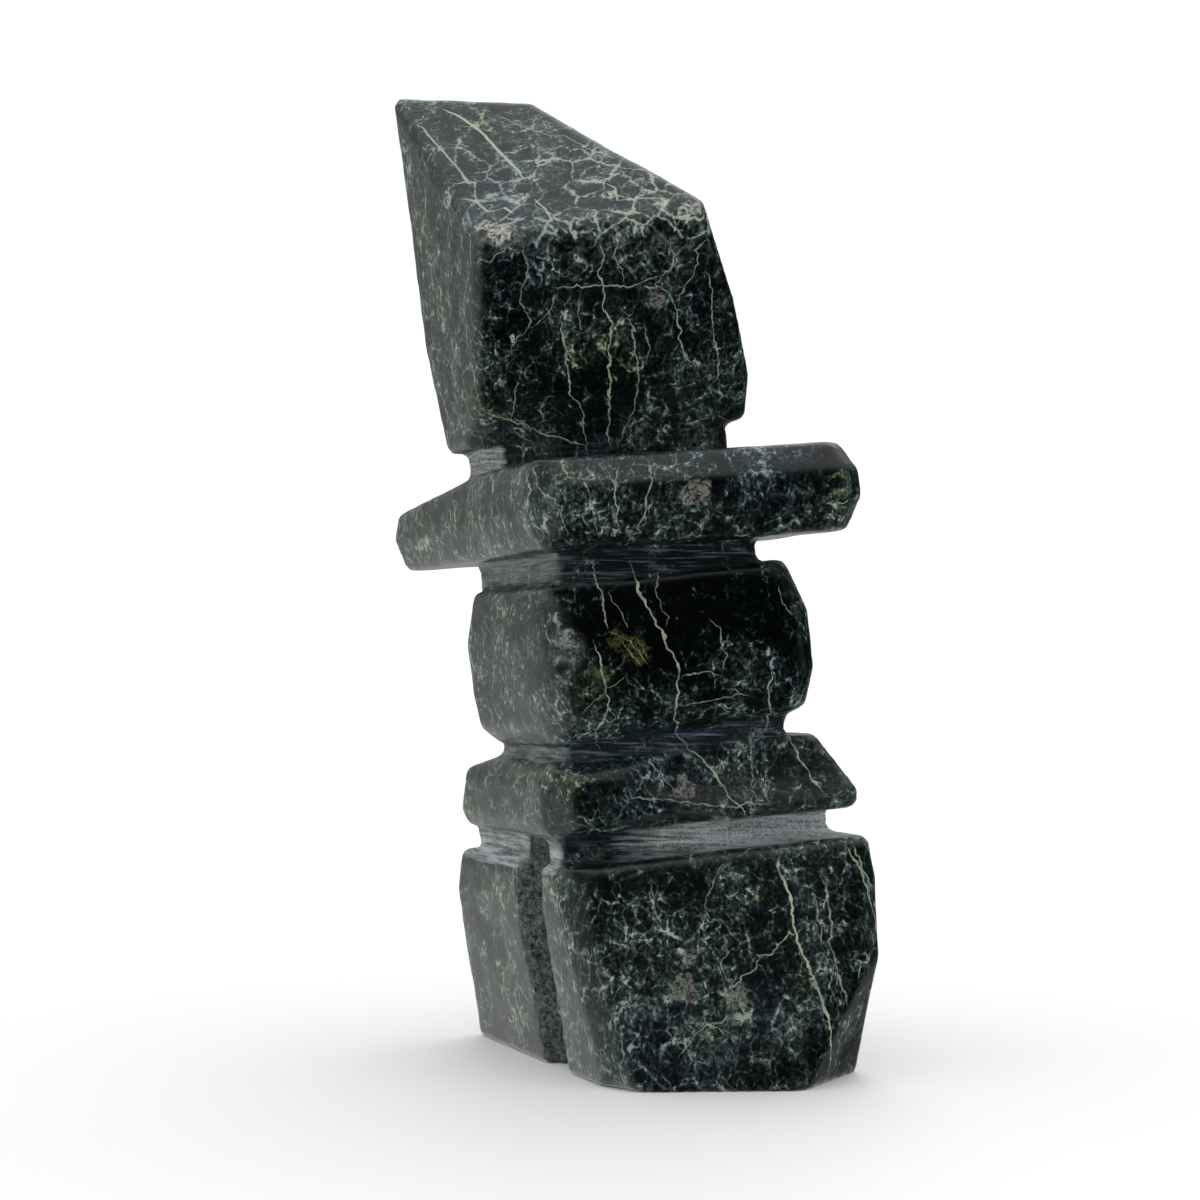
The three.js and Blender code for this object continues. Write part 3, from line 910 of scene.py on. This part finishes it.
def mass_colour(tree, place, pale, worn):
    """The mass from black-green through grey-green to pale grains, blue-black here and olive there"""
    ramp = add(tree, "ShaderNodeValToRGB", {}, {"Fac": pale})
    darkest, *between, palest = MASS
    stops = ramp.color_ramp.elements
    for stop, (position, shade) in zip(stops, (darkest, palest)):
        stop.position = position
        stop.color = linear(shade)
    for position, shade in between:
        stops.new(position).color = linear(shade)
    colour = ramp.outputs["Color"]
    tints = (
        ("blue", blotches(tree, place, "blue")), ("olive", blotches(tree, place, "olive")),
        ("olive_clouds", worn["olive"]),
    )
    for tint, mask in tints:
        colour = lay(tree, colour, COATS[tint], mask, blend="MULTIPLY")
    return colour


def lay_clumps(tree, colour, stirred, rim_bed, worn):
    """Clumps of coarse grains, a brown-grey bed along the crown's near edge, and the pit's painted shade"""
    grains = blotches(tree, stirred, "coarse_grains")
    rags = blotches(tree, stirred, "rags")
    colour = lay(tree, colour, COATS["rim_bed"], rim_bed, blotches(tree, stirred, "patches"), grains)
    starts, full = CLUMP_EDGE
    for coat, clumps in CLUMPS.items():
        torn = layered(tree, 0, [(clouds(tree, stirred, clumps), 1), (rags, RAGGEDNESS)])
        clump = add(tree, "ShaderNodeMapRange", {}, {"Value": torn, "From Min": starts, "From Max": full})
        colour = lay(tree, colour, COATS[coat], clump.outputs["Result"], grains)
    # Painted shade: the flaw's pit laid near black
    return lay(tree, colour, COATS["pit_and_shade"], worn["pit_and_shade"])


def tool_marks(tree, place, worn):
    """What saws and rasps leave, as masks: lines and scratches along the grooves, grit, and pale dust,
    which thins out on a near side as painted shade
    """
    drawn = add(tree, "ShaderNodeMapping", {}, {"Vector": place, "Scale": SAWN_STRETCH}).outputs["Vector"]
    lines = blotches(tree, drawn, "saw_lines")
    frayed = add(tree, "ShaderNodeMath", {"operation": "MULTIPLY_ADD"}, {
        0: lines, 1: FRAYING, 2: worn["sawn"],
    })
    starts, full = DUSTY
    dusty_and_shaded = add(tree, "ShaderNodeMapRange", {}, {
        "Value": frayed.outputs["Value"], "From Min": starts, "From Max": full,
    }).outputs["Result"]
    return {
        "lines": lines,
        "dusty_and_shaded": dusty_and_shaded,
        "scratches": blotches(tree, drawn, "scratches"),
        "grit": blotches(tree, place, "grit"),
        "slot_grit": blotches(tree, place, "slot_grit"),
    }


def lay_wear_and_painted_light(tree, colour, rim, worn, marks):
    """Rubbed edges with a painted highlight, scored grooves with painted shade, dusty grooves, the granular
    flaw and the pitted slot
    """
    # Painted highlight, partly rubbing: convex edges are laid paler, most on the crown's near rim
    colour = lay(tree, colour, COATS["rubbed_and_highlit_rim"], worn["rubbed_and_highlit"], rim)
    colour = lay(tree, colour, COATS["rubbed_and_highlit"], worn["rubbed_and_highlit"])
    # Painted shade: a dark coat in the scored grooves
    colour = lay(tree, colour, COATS["scored_and_shaded"], worn["scored_and_shaded"])
    colour = lay(tree, colour, COATS["scratches"], worn["scored_and_shaded"], marks["scratches"])
    dust = lay(tree, linear(DUST), COATS["dust_lines"], marks["lines"])
    dust = lay(tree, dust, COATS["dust_grit"], marks["grit"])
    # Where a near side's dust thins out, the groove is left dark as painted shade
    colour = lay(tree, colour, (dust, DUST_COVER), marks["dusty_and_shaded"])
    colour = lay(tree, colour, COATS["flaw"], worn["flawed"], marks["grit"])
    slot = lay(tree, linear(SLOT_HOLLOWS), COATS["slot_grit"], marks["slot_grit"])
    return lay(tree, colour, (slot, SLOT_COVER), worn["pitted"])


def roughness(tree, worn, marks):
    """Waxed faces, glossiest where the mass is calm, and matt dust and slot walls"""
    waxed = add(tree, "ShaderNodeMapRange", {}, {
        "Value": worn["shade"], "From Min": 0, "From Max": CALMEST, "To Min": WAXED, "To Max": WAXED_CALM,
    })
    matt = add(tree, "ShaderNodeMath", {"operation": "MAXIMUM"}, {0: marks["dusty_and_shaded"], 1: worn["pitted"]})
    return add(tree, "ShaderNodeMapRange", {}, {
        "Value": matt.outputs["Value"], "To Min": waxed.outputs["Result"], "To Max": SAWN,
    }).outputs["Result"]


def relief(tree, worn, marks):
    """The tool marks that are finer than the mesh"""
    height = layered(tree, 0, [
        (marks["lines"], RELIEF["sawn"], worn["sawn"]),
        (marks["lines"], RELIEF["scored_and_shaded"], worn["scored_and_shaded"]),
        (marks["slot_grit"], RELIEF["pitted"], worn["pitted"]),
    ])
    return add(tree, "ShaderNodeBump", {}, {
        "Height": height, "Distance": RELIEF["height"] * MM, "Strength": RELIEF["strength"],
    }).outputs["Normal"]


def serpentine():
    """Serpentine ground with files, polished and waxed: near black with grey-green grains, and a soft
    gloss that shows the sky only where the face is seen aslant. Sawn grooves stay matt and pale.
    Light and shade are painted in as well: a paler front, paler edges, and dark scored grooves and pit."""
    material = bpy.data.materials.new("waxed_serpentine")
    material.use_nodes = True
    tree = material.node_tree
    shader = tree.nodes["Principled BSDF"]
    shader.inputs["IOR"].default_value = SERPENTINE_IOR
    place = add(tree, "ShaderNodeVectorMath", {"operation": "SCALE"}, {
        0: add(tree, "ShaderNodeTexCoord").outputs["Object"], "Scale": 1 / MM,
    }).outputs["Vector"]
    stirred = stir(tree, place, *STIRRED)
    worn = {
        name: add(tree, "ShaderNodeAttribute", {"attribute_name": name}).outputs["Fac"] for name in WORN
    }
    marks = tool_marks(tree, place, worn)
    crown = bed(tree, place, "crown")
    rim = add(tree, "ShaderNodeMath", {"operation": "MULTIPLY"}, {
        0: bed(tree, place, "rim_height"), 1: bed(tree, place, "rim_side"),
    }).outputs["Value"]
    rim_bed = add(tree, "ShaderNodeMath", {"operation": "MULTIPLY"}, {
        0: rim, 1: bed(tree, place, "below_crown"),
    }).outputs["Value"]

    pale = stone_mass(tree, place, stirred, crown, worn)
    colour = mass_colour(tree, place, pale, worn)
    colour = lay_clumps(tree, colour, stirred, rim_bed, worn)
    colour = lay_veins(tree, colour, place, stirred, crown)
    colour = lay_wear_and_painted_light(tree, colour, rim, worn, marks)
    tree.links.new(colour, shader.inputs["Base Color"])
    tree.links.new(roughness(tree, worn, marks), shader.inputs["Roughness"])
    tree.links.new(relief(tree, worn, marks), shader.inputs["Normal"])
    return material


bpy.context.scene.view_settings.view_transform = "Standard"
place_camera()
light_studio()
lay_floor()
stone = carve_stone()
stone.data.materials.clear()
stone.data.materials.append(serpentine())
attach(stone, "root")
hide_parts(STONE)
